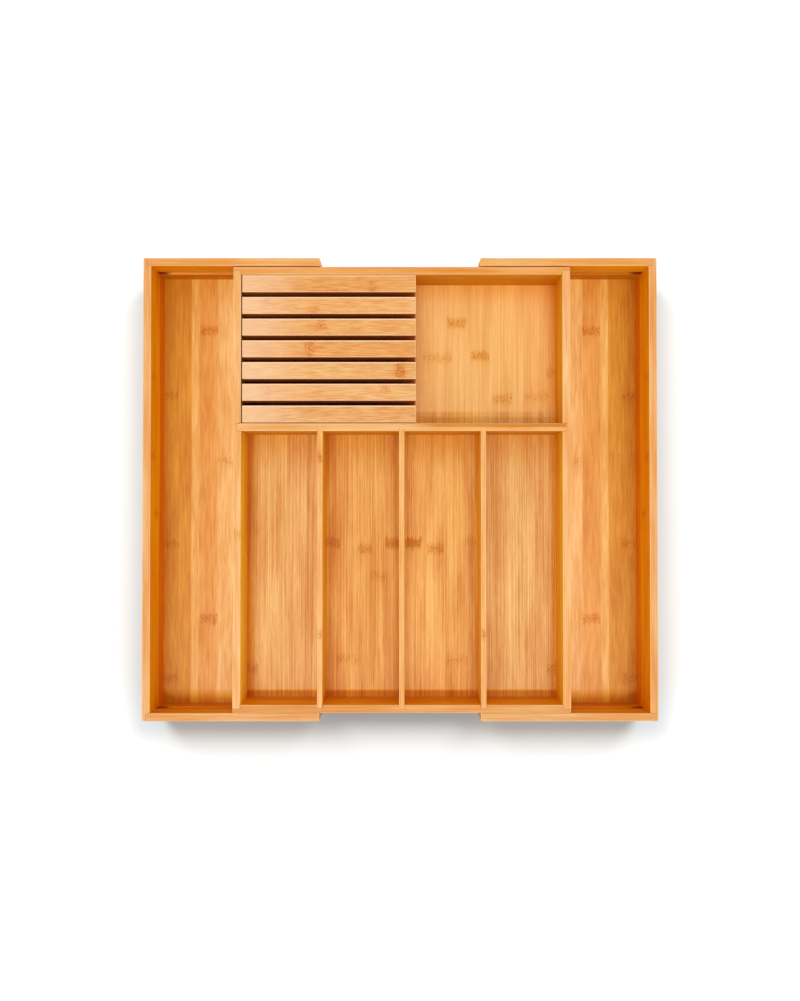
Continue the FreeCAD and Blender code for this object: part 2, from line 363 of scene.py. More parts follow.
# Knuckle marks: along the grain and across the strips from the board's own corner, half width, strength
sideFloorKnuckles = (
    (383.5, 48.6, 9.6, 1.0), (316.6, 9.0, 8.5, 0.6), (253.9, 27.5, 9.5, 0.35), (249.8, 65.5, 9.0, 0.5),
    (164.8, 11.0, 8.5, 0.6), (88.2, 49.0, 9.6, 1.0), (28.0, 10.5, 8.5, 0.7))
endWallKnuckles = ((334.9, 55.0, 9.0, 0.5), (256.2, 55.0, 9.0, 0.6), (200.5, 40.0, 8.0, 0.7))
centreFloorKnuckles = (
    (30.9, 8.8, 6.0, 0.6), (158.1, 89.5, 8.0, 0.8), (152.1, 121.9, 8.0, 0.7), (158.1, 149.2, 7.5, 1.1),
    (124.8, 136.1, 9.0, 0.5), (41.0, 104.8, 12.0, 0.5), (158.1, 170.5, 8.5, 1.25), (152.1, 192.7, 9.0, 0.8),
    (159.1, 229.2, 7.0, 0.5), (40.0, 214.9, 12.0, 0.5), (30.9, 310.8, 6.0, 0.6), (381.4, 215.2, 10.0, 0.8),
    (345.8, 195.4, 15.0, 0.5), (347.8, 238.5, 10.0, 0.75), (330.6, 310.5, 5.5, 0.5),
    (304.1, 260.8, 10.5, 0.6), (306.2, 295.3, 13.0, 0.45))
centreLeftKnuckles = ((167.7, 55.0, 9.0, 0.5),)
dividerKnuckles = {"left": ((241.1, 55.0, 12.0, 0.7), (69.9, 55.0, 12.0, 0.7)), "middle": (),
                   "right": ((69.9, 55.0, 12.0, 0.7),)}
slatKnuckles = {
    1: ((127.6, 4.8, 7.0, 0.6),), 2: ((22.7, 10.0, 7.0, 0.5), (70.3, 1.5, 5.0, 0.6)),
    3: ((77.1, 13.0, 7.0, 0.65),), 4: ((65.5, 8.0, 8.5, 0.75),), 5: ((153.9, 9.0, 8.0, 1.1),),
    6: ((24.8, 8.0, 8.0, 0.5), (139.3, 12.0, 5.0, 0.6)), 7: ((81.1, 16.0, 3.0, 0.3),)}
# how dark a knuckle's surroundings are, and which part of the speckle shows in its band
knuckleLook = {"halo": 0.16, "gather": 0.2, "dense": (0.58, 0.68), "full": 0.8}

# What sets single boards apart: the whole board's tint
tints = {
    "left_back_wall": (1.1, 1.02, 0.91), "right_back_wall": (1.1, 1.055, 0.91),
    "left_front_wall": (1.04, 0.955, 0.95), "right_front_wall": (1.04, 1.06, 1.08),
    "left_end_wall": (1.09, 1.06, 1.06), "right_end_wall": (1.09, 1.04, 1.0),
    "centre_back_wall": (0.9, 0.73, 0.48), "centre_front_wall": (0.86, 0.715, 0.56),
    "cross_divider": (0.98, 1.0, 1.03), "left_divider": (1.0, 0.98, 0.89),
    "middle_divider": (0.98, 0.91, 0.78), "right_divider": (0.98, 0.91, 0.83),
    "knife_slat_1": (0.93, 0.83, 0.66), "knife_slat_2": (0.98, 0.96, 0.95),
    "knife_slat_3": (0.94, 0.87, 0.77), "knife_slat_4": (0.94, 0.87, 0.71),
    "knife_slat_5": (0.95, 0.97, 0.97), "knife_slat_6": (0.95, 0.94, 0.94),
    "knife_slat_7": (0.92, 0.89, 0.84)}
# painted light and shade: the tint of the inside faces above and below, and the heights that it changes
# between
# darker and redder as if only the wood's light reached them; the lower band is partly a darker lamination
insideFaceLightAndShade = {
    "left_end_wall": ((1.0, 0.88, 0.012), (0.91, 0.65, 0.003), 25, 28),
    "right_end_wall": ((1.0, 0.84, 0.01), (0.93, 0.73, 0.005), 25, 28),
    "left_back_wall": ((0.84, 0.72, 0.03), (0.6, 0.46, 0.003), 27, 29),
    "right_back_wall": ((0.86, 0.8, 0.05), (0.63, 0.49, 0.002), 27, 29),
    "left_front_wall": ((0.9, 0.7, 0.031), (0.75, 0.5, 0.009), 27, 29),
    "right_front_wall": ((0.9, 0.67, 0.028), (0.75, 0.47, 0.008), 27, 29),
    "centre_left_wall": ((1.1, 1.38, 0.32), (1.07, 0.98, 0.05), 15, 60),
    "centre_right_wall": ((1.06, 1.22, 0.14), (1.03, 0.88, 0.02), 15, 60),
    "centre_back_wall": ((0.87, 0.85, 0.01), (0.82, 0.72, 0.004), 20, 50),
    "centre_front_wall": ((1.08, 1.0, 0.014), (1.05, 0.85, 0.008), 20, 50),
    "cross_divider": ((0.79, 0.67, 0.012), (0.79, 0.66, 0.008), 20, 50),
    "dividers": ((1.04, 1.12, 0.12), (1.03, 1.0, 0.04), 15, 60)}
# painted shade on the same faces behind the cross divider, which are made darker there
paintedShadeBehind = {"centre_left_wall": (0.5, 0.3, 0.12), "centre_right_wall": (0.94, 0.78, 0.5)}
paintedShadeBehindFrom = 63
# and painted light on the faces that look away from the compartments, which are made lighter
paintedLightOutside = {"centre_left_wall": (1.04, 1.24, 1.35), "centre_right_wall": (1.04, 1.24, 1.35)}

# Painted light and shade on the floors beside the boards that stand on them, darker in corners and shadows,
# lighter
# where the boards shade them: axis, from and to along it, the stretch of Y that it holds for, and the tint
sideFloorPaintedShade = (("Y", 170, 217, -230, 230, (1.0, 0.95, 0.62)),
                  ("Y", -203.5, -205.5, -230, 230, (1.08, 0.95, 0.26)))
floorPaintedLightAndShade = {
    "left_floor": sideFloorPaintedShade, "right_floor": sideFloorPaintedShade,
    "centre_floor": (
        ("Y", 185, 209, 60, 230, (0.97, 0.82, 0.46)), ("Y", 10, 56, -230, 60, (0.93, 0.8, 0.44)),
        ("Y", -198.5, -200.5, -230, 60, (1.1, 0.98, 0.5)), ("Y", 80.5, 79, 60, 82, (1.0, 0.93, 0.8)),
        ("Y", 75.5, 72.8, 60, 80, (1.38, 1.5, 1.4)), ("X", -142, -152, -230, 230, (0.76, 0.48, 0.04)),
        ("X", 144, 157.5, -230, 230, (0.86, 0.7, 0.3)), ("X", -94, -82, -230, 58, (1.16, 1.3, 1.45)),
        ("X", -64, -75, -230, 58, (0.89, 0.74, 0.26)), ("X", -12, -1, -230, 58, (0.86, 0.7, 0.32)),
        ("X", 13, 4.5, -230, 58, (0.96, 0.92, 0.84)), ("X", 68, 78, -230, 58, (0.86, 0.74, 0.45)))}
# painted light: the centre floor is paler behind the cross divider's shadow; it is browner in the two middle
# compartments
centreFloorLook = {
    "behind": (77, 81), "behindTint": (1.12, 1.22, 1.3), "behindColour": (255, 200, 118), "behindShare": 0.5,
    "middleTint": (1.02, 1.1, 0.88), "left": (-78, -79), "leftTint": (1.0, 1.14, 1.2),
    "right": (81, 82), "rightTint": (1.03, 1.23, 1.38)}
# the right half of the cross divider is browner, most of all in the ply along its back
crossDividerLook = {"ply": (59.6, 60.2), "rightHalf": (4, 40), "rightTint": (0.98, 0.9, 0.69),
                    "plyTint": (0.77, 0.56, 0.27)}
# the slide grooves: where they lie in the wall, and the painted light and shade of their lip, back and closed
# end
groovePaintedShade = {"dark": (1.2, 3.6), "back": (0.66, 0.4, 0.06), "end": (0.34, 0.1, 0.03)}
slideGroove = {
    "walls": ("left_back_wall", "left_front_wall", "right_back_wall", "right_front_wall"),
    "middle": 34.0, "half": 6.6, "soft": 0.6, "mouth": (0.02, 0.1), "bottom": (4.6, 4.1), "closed": (18, 8),
    "left": {**groovePaintedShade, "lip": (0.95, 0.8, 0.3)}, "right": {**groovePaintedShade, "lip": (0.64, 0.4, 0.03)},
    "front": {"dark": (1.2, 1.8), "lip": (1.08, 0.94, 0.26), "back": (0.9, 0.6, 0.04),
              "end": (0.5, 0.22, 0.03)}}
# the knife slats: a painted glare at the left end, a painted highlight along the back arris, painted shade in
# the slots
slatLook = {
    "paintedGlare": 70, "paintedGlareShare": 0.5, "paintedGlareColour": (255, 214, 178), "arris": (1.7, 0.9), "arrisUp": (0.1, 0.4),
    "arrisHighlightShare": 0.75, "arrisHighlightColour": (255, 222, 186), "slotShadeFacing": (0.6, 0.9), "slotShadeFrom": 0.5,
    "slotShadeTint": (0.62, 0.3, 0.09)}
# what all boards share: the shine of flat and upright ones, the painted shade of upright faces, seams, end
# grain,
# edges pale partly from wear and partly a painted highlight, and relief
boardLook = {
    "flatShine": 0.18, "uprightShine": 0.06, "coat": 0.03, "coatRoughness": 0.3,
    "uprightPaintedShade": (0.97, 0.9, 0.78), "seamColour": (150, 84, 34), "endShare": 0.35,
    "endColour": (196, 122, 62), "poreShare": 0.5, "poreColour": (128, 68, 28), "edgeWearAndHighlightShare": 0.45,
    "slatEdgeWearAndHighlightShare": 0.65, "edgeWearAndHighlightColour": (255, 222, 172), "bump": 0.3, "relief": 0.12, "seamRelief": 1.5}
# how squarely a face has to look a way to start, and to count fully, as looking there
turned, square = 0.4, 0.8


def measureBoard(tree, name, along, across, flip, inner):
    # where a point lies on its board, from the board's own corner, and which way its face looks
    low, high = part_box(name)
    size = high - low
    through = ({"X", "Y", "Z"} - {along, across}).pop()
    here = apart(tree, addNode(tree, "ShaderNodeTexCoord").outputs["Object"])
    fromCorner = {}
    for axis, number in axisNumber.items():
        if flip and axis == "X":
            fromCorner[axis] = maths(tree, "SUBTRACT", high[number], here[number])
        else:
            fromCorner[axis] = maths(tree, "SUBTRACT", here[number], low[number])
    normal = apart(tree, addNode(tree, "ShaderNodeNewGeometry").outputs["True Normal"])
    facing = normal[axisNumber[through]]
    facing = maths(tree, "MULTIPLY", facing, inner) if inner else maths(tree, "ABSOLUTE", facing)
    order = (along, across, through)
    return SimpleNamespace(
        tree=tree, name=name, low=low, high=high, here=here, fromCorner=fromCorner, across=across,
        inner=inner, normal=normal, facing=facing, insideFace=fade(tree, facing, turned, square),
        upright=through != "Z", size=[size[axisNumber[axis]] for axis in order],
        space=joined(tree, *(fromCorner[axis] for axis in order)), endFacing=normal[axisNumber[along]])


def addPlanks(board, colour, planks):
    # a ramp across the board gives each plank its tint
    tree, width = board.tree, board.size[1]
    ramp = addNode(tree, "ShaderNodeValToRGB",
                   {0: maths(tree, "DIVIDE", board.fromCorner[board.across], width)})
    stops = ramp.color_ramp.elements
    for number, (place, tint) in enumerate(planks):
        position = min(place * mm / width, 1.0)
        stop = stops[number] if number < 2 else stops.new(position)
        stop.position = position
        stop.color = (*tint, 1)
    return tinted(tree, colour, ramp.outputs["Color"])


def shadeCentreFloor(board, colour):
    # painted light: paler behind the cross divider, beyond its shadow; each compartment before it in its own
    # tone
    tree, look = board.tree, centreFloorLook
    x, y = board.here[:2]
    paler = mixColours(tree, look["behindShare"], tinted(tree, colour, look["behindTint"]),
                       linear(look["behindColour"]))
    tone = mixColours(tree, fadeOver(tree, x, look["left"]), (*look["middleTint"], 1), (*look["leftTint"], 1))
    tone = mixColours(tree, fadeOver(tree, x, look["right"]), tone, (*look["rightTint"], 1))
    return mixColours(tree, fadeOver(tree, y, look["behind"]), tinted(tree, colour, tone), paler)


def addKnuckles(board, colour, wood, knuckles, seed):
    # a stain around each knuckle and dark speckles in its band
    tree, look = board.tree, knuckleLook
    grains = useGroup(tree, speckle, {"Vector": board.space, "Seed": seed})
    band, halo = 0.0, 0.0
    for place, aside, half, strength in knuckles:
        found = useGroup(tree, knuckle, {
            "Vector": board.space, "Wave": grains["Wave"], "Along": place * mm, "Across": aside * mm,
            "Half Width": half * mm, "Strength": strength})
        band = maths(tree, "MAXIMUM", band, found["Band"])
        halo = maths(tree, "MAXIMUM", halo, found["Halo"])
    stain = maths(tree, "MULTIPLY_ADD", band, wood["smudge"], maths(tree, "MULTIPLY", halo, look["halo"]))
    gathered = maths(tree, "MULTIPLY_ADD", band, look["gather"], grains["Speckle"])
    dots = maths(tree, "MULTIPLY", fade(tree, band, 0.0, look["full"]), fade(tree, gathered, *look["dense"]))
    colour = tinted(tree, colour, wood["smudgeTint"], stain)
    return tinted(tree, colour, wood["dotTint"], maths(tree, "MULTIPLY", dots, wood["dots"]))


def shadeFaces(board, colour):
    # painted light and shade: upright faces darker, and inside faces darker and redder, as if only the wood
    # lit them
    tree, name = board.tree, board.name
    steep = fade(tree, maths(tree, "ABSOLUTE", board.normal[2]), square, turned)
    colour = tinted(tree, colour, boardLook["uprightPaintedShade"], steep)
    if board.upright:
        above, below, lowEnd, highEnd = insideFaceLightAndShade.get(name, insideFaceLightAndShade["dividers"])
        height = fadeOver(tree, board.here[2], (lowEnd, highEnd))
        colour = tinted(tree, colour, mixColours(tree, height, (*below, 1), (*above, 1)), board.insideFace)
    # painted light on the faces that look away from the compartments
    if name in paintedLightOutside:
        colour = tinted(tree, colour, paintedLightOutside[name], fade(tree, board.facing, -turned, -square))
    # painted shade on the inside faces behind the cross divider
    if name in paintedShadeBehind:
        behind = maths(tree, "GREATER_THAN", board.here[1], paintedShadeBehindFrom * mm)
        colour = tinted(tree, colour, paintedShadeBehind[name], maths(tree, "MULTIPLY", board.insideFace, behind))
    return tinted(tree, colour, tints[name]) if name in tints else colour


def shadeGroove(board, colour):
    # painted light and shade: the groove's lip lit, its back darker and its closed end darkest, where less
    # light reaches
    tree, look = board.tree, slideGroove
    inFront = board.inner > 0
    y = board.here[1]
    depth = maths(tree, "SUBTRACT", board.high[1], y) if inFront else maths(tree, "SUBTRACT", y, board.low[1])
    level = maths(tree, "ABSOLUTE", maths(tree, "SUBTRACT", board.here[2], look["middle"] * mm))
    inGroove = maths(tree, "MULTIPLY", fadeOver(tree, depth, look["mouth"]),
                     fadeOver(tree, depth, look["bottom"]))
    inGroove = maths(tree, "MULTIPLY", inGroove,
                     fadeOver(tree, level, (look["half"], look["half"] - look["soft"])))
    wall = look["front" if inFront else board.name.split("_")[0]]
    tint = mixColours(tree, fadeOver(tree, depth, wall["dark"]), (*wall["lip"], 1), (*wall["back"], 1))
    tint = mixColours(tree, fadeOver(tree, board.fromCorner["X"], look["closed"]), tint, (*wall["end"], 1))
    return tinted(tree, colour, tint, inGroove)


def shadeCrossDivider(board, colour):
    # its browner right half, and the ply there
    tree, look = board.tree, crossDividerLook
    rightHalf = fadeOver(tree, board.here[0], look["rightHalf"])
    ply = maths(tree, "MULTIPLY", fadeOver(tree, board.here[1], look["ply"]), rightHalf)
    return tinted(tree, tinted(tree, colour, look["rightTint"], rightHalf), look["plyTint"], ply)


def paintFloorLightAndShade(board, colour):
    # the floor's painted light and shade beside the boards that stand on them
    tree, here = board.tree, board.here
    for axis, start, end, yFrom, yTo, tint in floorPaintedLightAndShade.get(board.name, ()):
        share = maths(tree, "MULTIPLY", fadeOver(tree, here[axisNumber[axis]], (start, end)),
                      between(tree, here[1], yFrom, yTo))
        if axis == "X":
            # it stops under the board, 4 mm on
            beside = between(tree, here[0], min(start, end) - 4, max(start, end) + 4)
            share = maths(tree, "MULTIPLY", share, beside)
        colour = tinted(tree, colour, tint, share)
    return colour


slatBoxes = [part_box("knife_slat_" + str(number)) for number in slatKnuckles]
blockFront, blockBack = min(low.y for low, high in slatBoxes), max(high.y for low, high in slatBoxes)


def paintSlatLightAndShade(board, colour):
    # a painted glare at the left end, a painted highlight along the back arris and painted shade on the sides
    # in the slots
    tree, look, y = board.tree, slatLook, board.here[1]
    paintedGlare = fadeOver(tree, board.fromCorner["X"], (look["paintedGlare"], 0.0), 0.0, look["paintedGlareShare"])
    colour = mixColours(tree, paintedGlare, colour, linear(look["paintedGlareColour"]))
    # painted highlight along the back arris
    start, end = look["arris"]
    arris = maths(tree, "MULTIPLY", fade(tree, y, board.high[1] - start * mm, board.high[1] - end * mm),
                  fade(tree, board.normal[2], *look["arrisUp"]))
    arris = maths(tree, "MULTIPLY", arris, look["arrisHighlightShare"])
    colour = mixColours(tree, arris, colour, linear(look["arrisHighlightColour"]))
    # painted shade on the sides in the slots; the block's own front and back face no slot and get none
    fromEnd = maths(tree, "MINIMUM", maths(tree, "SUBTRACT", y, blockFront),
                    maths(tree, "SUBTRACT", blockBack, y))
    facing = fade(tree, maths(tree, "ABSOLUTE", board.normal[1]), *look["slotShadeFacing"])
    slotShade = maths(tree, "MULTIPLY", facing, maths(tree, "GREATER_THAN", fromEnd, look["slotShadeFrom"] * mm))
    return tinted(tree, colour, look["slotShadeTint"], slotShade)


def boardMaterial(name, wood, along, across, seed, flip=False, inner=0, knuckles=()):
    # bamboo for one board: along and across are the object axes of its grain and of its strips, and
    # inner says which way its inside face looks, 1 or -1 along the third axis, or 0 for both sides
    look = boardLook
    material = bpy.data.materials.new("bamboo_" + name)
    material.use_nodes = True
    tree = material.node_tree
    board = measureBoard(tree, name, along, across, flip, inner)
    isSlat = wood is slatWood
    shader = tree.nodes["Principled BSDF"]
    shader.inputs["Specular IOR Level"].default_value = look["uprightShine" if board.upright else "flatShine"]
    shader.inputs["Coat Weight"].default_value = look["coat"]
    shader.inputs["Coat Roughness"].default_value = look["coatRoughness"]

    wooden = useGroup(tree, laminate, {
        "Vector": board.space, "Pale": linear(wood["pale"]), "Deep": linear(wood["deep"]),
        "Strip Width": wood["strip"] * mm, "First Seam": wood["firstSeam"] * mm,
        "Strip Contrast": wood["stripContrast"], "Streak Scale": wood["streakScale"],
        "Streak Length": wood["streakLength"], "Streak Contrast": wood["streakContrast"],
        "Cloud Contrast": wood["cloudContrast"], "Seed": seed})
    colour = wooden["Color"]
    if "planks" in wood:
        colour = addPlanks(board, colour, wood["planks"])
    if name == "centre_floor":
        colour = shadeCentreFloor(board, colour)
    if knuckles:
        colour = addKnuckles(board, colour, wood, knuckles, seed)
    seam = maths(tree, "MULTIPLY", wooden["Seam"], wood["seam"])
    colour = mixColours(tree, seam, colour, linear(look["seamColour"]))
    colour = shadeFaces(board, colour)
    if name in slideGroove["walls"]:
        colour = shadeGroove(board, colour)
    if name == "cross_divider":
        colour = shadeCrossDivider(board, colour)
    colour = paintFloorLightAndShade(board, colour)
    if isSlat:
        colour = paintSlatLightAndShade(board, colour)
    grain = useGroup(tree, endGrain, {"Vector": board.space, "Facing": board.endFacing})
    colour = mixColours(tree, maths(tree, "MULTIPLY", grain["End"], look["endShare"]), colour,
                        linear(look["endColour"]))
    colour = mixColours(tree, maths(tree, "MULTIPLY", grain["Dots"], look["poreShare"]), colour,
                        linear(look["poreColour"]))
    edge = useGroup(tree, boardEdges, {"Vector": board.space, "Size": board.size})["Edge"]
    # the edges are paler, partly from wear and partly a painted highlight
    edgeWearAndHighlight = maths(tree, "MULTIPLY", edge, look["slatEdgeWearAndHighlightShare" if isSlat else "edgeWearAndHighlightShare"])
    colour = mixColours(tree, edgeWearAndHighlight, colour, linear(look["edgeWearAndHighlightColour"]))
    tree.links.new(colour, shader.inputs["Base Color"])

    rough = useGroup(tree, varnish, {"Vector": board.space, "Streaks": wooden["Streaks"], "Edge": edge})
    tree.links.new(rough["Roughness"], shader.inputs["Roughness"])
    seamDepth = maths(tree, "MULTIPLY", wooden["Seam"], look["seamRelief"])
    height = maths(tree, "SUBTRACT", wooden["Height"], seamDepth)
    bump = addNode(tree, "ShaderNodeBump",
                   {"Height": height, "Strength": look["bump"], "Distance": look["relief"] * mm})
    tree.links.new(bump.outputs[0], shader.inputs["Normal"])
    return material


def dress(name, material):
    # the frame's own material goes, this one comes
    mesh = frame["nodes"][name].data
    mesh.materials.clear()
    mesh.materials.append(material)


def dressBoards():
    # for each board its wood, the axes along and across its grain, the seed of its pattern, whether it
    # is turned end for end, the way its inside face looks and its knuckles
    boards = {}
    for number, side in enumerate(("left", "right")):
        flip = side == "right"
        seed = 11.0 + 20 * number
        boards[side + "_floor"] = (sideFloorWood, "Y", "X", seed, flip, 1, sideFloorKnuckles)
        boards[side + "_end_wall"] = (
            endWallWood, "Y", "Z", seed + 1, flip, -1 if flip else 1, endWallKnuckles)
        boards[side + "_back_wall"] = (wallWood, "X", "Z", seed + 2, flip, -1)
        boards[side + "_front_wall"] = (wallWood, "X", "Z", seed + 3, flip, 1)
    boards["centre_floor"] = (centreFloorWood, "Y", "X", 3.0, False, 1, centreFloorKnuckles)
    boards["centre_left_wall"] = (wallWood, "Y", "Z", 4.0, False, 1, centreLeftKnuckles)
    boards["centre_right_wall"] = (wallWood, "Y", "Z", 5.0, False, -1)
    boards["centre_back_wall"] = (wallWood, "X", "Z", 6.0, False, -1)
    boards["centre_front_wall"] = (wallWood, "X", "Z", 7.0, False, 1)
    boards["cross_divider"] = (wallWood, "X", "Z", 8.0)
    for number, (place, knuckles) in enumerate(dividerKnuckles.items()):
        boards[place + "_divider"] = (dividerWood, "Y", "Z", 61.0 + number, False, 0, knuckles)
    for number, place in enumerate(("front_left", "back_left", "front_right", "back_right")):
        boards["slide_tongue_" + place] = (innerWood, "X", "Z", 71.0 + number)
    for number, knuckles in slatKnuckles.items():
        boards["knife_slat_" + str(number)] = (slatWood, "X", "Y", 80.0 + 7 * number, False, 1, knuckles)
    boards["knife_rail_left"] = (innerWood, "Y", "X", 141.0, False, 1)
    boards["knife_rail_right"] = (innerWood, "Y", "X", 142.0, False, 1)
    for name, look in boards.items():
        dress(name, boardMaterial(name, *look))
    print("bamboo on", len(boards), "boards")


dressBoards()

# Glue lines: thin dark threads where two boards meet at a face

glueLine = {
    "width": 0.34, "arris": 0.8, "sides": 6, "dark": (156, 80, 22), "light": (214, 134, 56), "shine": 0.05,
    "patchScale": 240.0, "rough": 0.6, "patchRough": 0.2, "sideFoot": 2, "centreFoot": 1}


def glueMaterial():
    material = bpy.data.materials.new("driedGlue")
    material.use_nodes = True
    tree = material.node_tree
    shader = tree.nodes["Principled BSDF"]
    shader.inputs["Specular IOR Level"].default_value = glueLine["shine"]
    where = addNode(tree, "ShaderNodeTexCoord").outputs["Object"]
    patches = fade(tree, noise(tree, where, glueLine["patchScale"], 2.0), 0.35, 0.65)
    colour = mixColours(tree, patches, linear(glueLine["dark"]), linear(glueLine["light"]))
    tree.links.new(colour, shader.inputs["Base Color"])
    rough = maths(tree, "MULTIPLY_ADD", patches, glueLine["patchRough"], glueLine["rough"])
    tree.links.new(rough, shader.inputs["Roughness"])
    return material


def makeGlueTree():
    # a thread of the given width along every joint path, rounded where the path goes over an arris
    tree = bpy.data.node_groups.new("glueAlongJoint", "GeometryNodeTree")
    for name, kind in (("Geometry", "Geometry"), ("Line Width", "Float"), ("Arris", "Float"),
                       ("Sides", "Int"), ("Material", "Material")):
        tree.interface.new_socket(name, in_out="INPUT", socket_type="NodeSocket" + kind)
    tree.interface.new_socket("Geometry", in_out="OUTPUT", socket_type="NodeSocketGeometry")
    given = tree.nodes.new("NodeGroupInput").outputs
    made = tree.nodes.new("NodeGroupOutput").inputs
    path = addNode(tree, "GeometryNodeMeshToCurve", {"Mesh": given["Geometry"]}).outputs[0]
    rounded = addNode(tree, "GeometryNodeFilletCurve", {
        "Curve": path, "Radius": given["Arris"], "Limit Radius": True, "Count": 4}, mode="POLY")
    radius = maths(tree, "MULTIPLY", given["Line Width"], 0.5)
    profile = addNode(tree, "GeometryNodeCurvePrimitiveCircle",
                      {"Resolution": given["Sides"], "Radius": radius}).outputs[0]
    thread = addNode(tree, "GeometryNodeCurveToMesh",
                     {"Curve": rounded.outputs[0], "Profile Curve": profile, "Fill Caps": True}).outputs[0]
    real = addNode(tree, "GeometryNodeRealizeInstances", {"Geometry": thread}).outputs[0]
    ready = addNode(tree, "GeometryNodeSetMaterial", {"Geometry": real, "Material": given["Material"]})
    tree.links.new(ready.outputs[0], made["Geometry"])
    return tree


glueTree = makeGlueTree()
driedGlue = glueMaterial()


def makeGlueLines(body, paths):
    mesh = bpy.data.meshes.new("glue_lines_" + body)
    points, edges = [], []
    for path in paths:
        first = len(points)
        points += [tuple(point) for point in path]
        edges += [(first + step, first + step + 1) for step in range(len(path) - 1)]
    mesh.from_pydata(points, edges, [])
    piece = bpy.data.objects.new("glue_lines_" + body, mesh)
    bpy.context.scene.collection.objects.link(piece)
    modifier = piece.modifiers.new("glue", "NODES")
    modifier.node_group = glueTree
    values = {"Line Width": glueLine["width"] * mm, "Arris": glueLine["arris"] * mm,
              "Sides": glueLine["sides"], "Material": driedGlue}
    for item in glueTree.interface.items_tree:
        if item.in_out == "INPUT" and item.name in values:
            modifier[item.identifier] = values[item.name]
    ready = bpy.data.meshes.new_from_object(piece.evaluated_get(bpy.context.evaluated_depsgraph_get()))
    piece.modifiers.clear()
    piece.data = ready
    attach(piece, body)
    return piece


def sideTrayPaths(side):
    # the laps of the two corners of one side tray
    endLow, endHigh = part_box(side + "_end_wall")
    paths = []
    for place in ("back", "front"):
        low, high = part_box(side + "_" + place + "_wall")
        lapX = low.x if side == "left" else high.x
        innerX = endHigh.x if side == "left" else endLow.x
        outerY, innerY = (high.y, low.y) if place == "back" else (low.y, high.y)
        foot = low.z + glueLine["sideFoot"] * mm
        paths.append([(lapX, outerY, foot), (lapX, outerY, high.z), (lapX, innerY, high.z),
                      (innerX, innerY, high.z)])
    return paths


def centreTrayPaths():
    # the laps of the four corners and the housings of the cross divider
    leftLow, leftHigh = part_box("centre_left_wall")
    rightLow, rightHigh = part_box("centre_right_wall")
    top = leftHigh.z
    paths = []
    for outerX, innerX in ((leftLow.x, leftHigh.x), (rightHigh.x, rightLow.x)):
        for place, lapY in (("back", leftHigh.y), ("front", leftLow.y)):
            low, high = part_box("centre_" + place + "_wall")
            innerY = low.y if place == "back" else high.y
            foot = low.z + glueLine["centreFoot"] * mm
            paths.append([(outerX, lapY, foot), (outerX, lapY, top), (innerX, lapY, top),
                          (innerX, innerY, top)])
    low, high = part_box("cross_divider")
    for endX, innerX in ((low.x, leftHigh.x), (high.x, rightLow.x)):
        paths.append([(innerX, low.y, top), (endX, low.y, top), (endX, high.y, top), (innerX, high.y, top)])
    return paths


glueLines = [makeGlueLines("left_tray", sideTrayPaths("left")),
             makeGlueLines("right_tray", sideTrayPaths("right")),
             makeGlueLines("centre_tray", centreTrayPaths())]

# Camera, straight above and a little in front of the middle

cameraPlace = {"at": (0.0, -0.0278, 1.065), "towards": (0.0, -0.0114, 0.065), "lens": 37.15}


def makeCamera():
    data = bpy.data.cameras.new("camera")
    data.lens = cameraPlace["lens"]
    data.sensor_width = 36.0
    data.clip_start, data.clip_end = 0.01, 20.0
    camera = bpy.data.objects.new("camera", data)
    bpy.context.scene.collection.objects.link(camera)
    camera.location = cameraPlace["at"]
    aim = Vector(cameraPlace["towards"]) - Vector(cameraPlace["at"])
    camera.rotation_euler = aim.to_track_quat("-Z", "Y").to_euler()
    bpy.context.scene.camera = camera


makeCamera()

# Floor, lamps and world

studio = {
    "skyHigh": 0.68, "skyLow": 0.83, "skyOver": (0.15, 0.45), "keyLevel": 0.39, "keyDepth": 0.15,
    "keyHeight": 3.3, "keyForward": -0.7, "keySide": 0.4, "keyAim": (0, 0, 0.05),
    "keyWidth": {"centre": 2.6, "left": 1.3, "right": 1.3},
    "floorLevel": 0.6, "floorLampsAt": ((-1.72, 2.0, 4.4), (1.72, 2.0, 4.4)), "floorLampSize": (1.2, 2.2),
    "floorLampColour": (1.0, 0.97, 0.94), "fillLevel": 0.06, "fillAt": (0, -2.4, 4.4), "fillSize": (2.4, 1.0),
    "floorReach": 6.0, "floorBelow": 0.05, "floorColour": (0.56, 0.59, 0.605),
    "floorNear": (0.54, 0.62, 0.68), "nearOutside": (30, 4), "nearInside": (-30, -10),
    "glow": 0.8, "glowOver": (330, 500)}


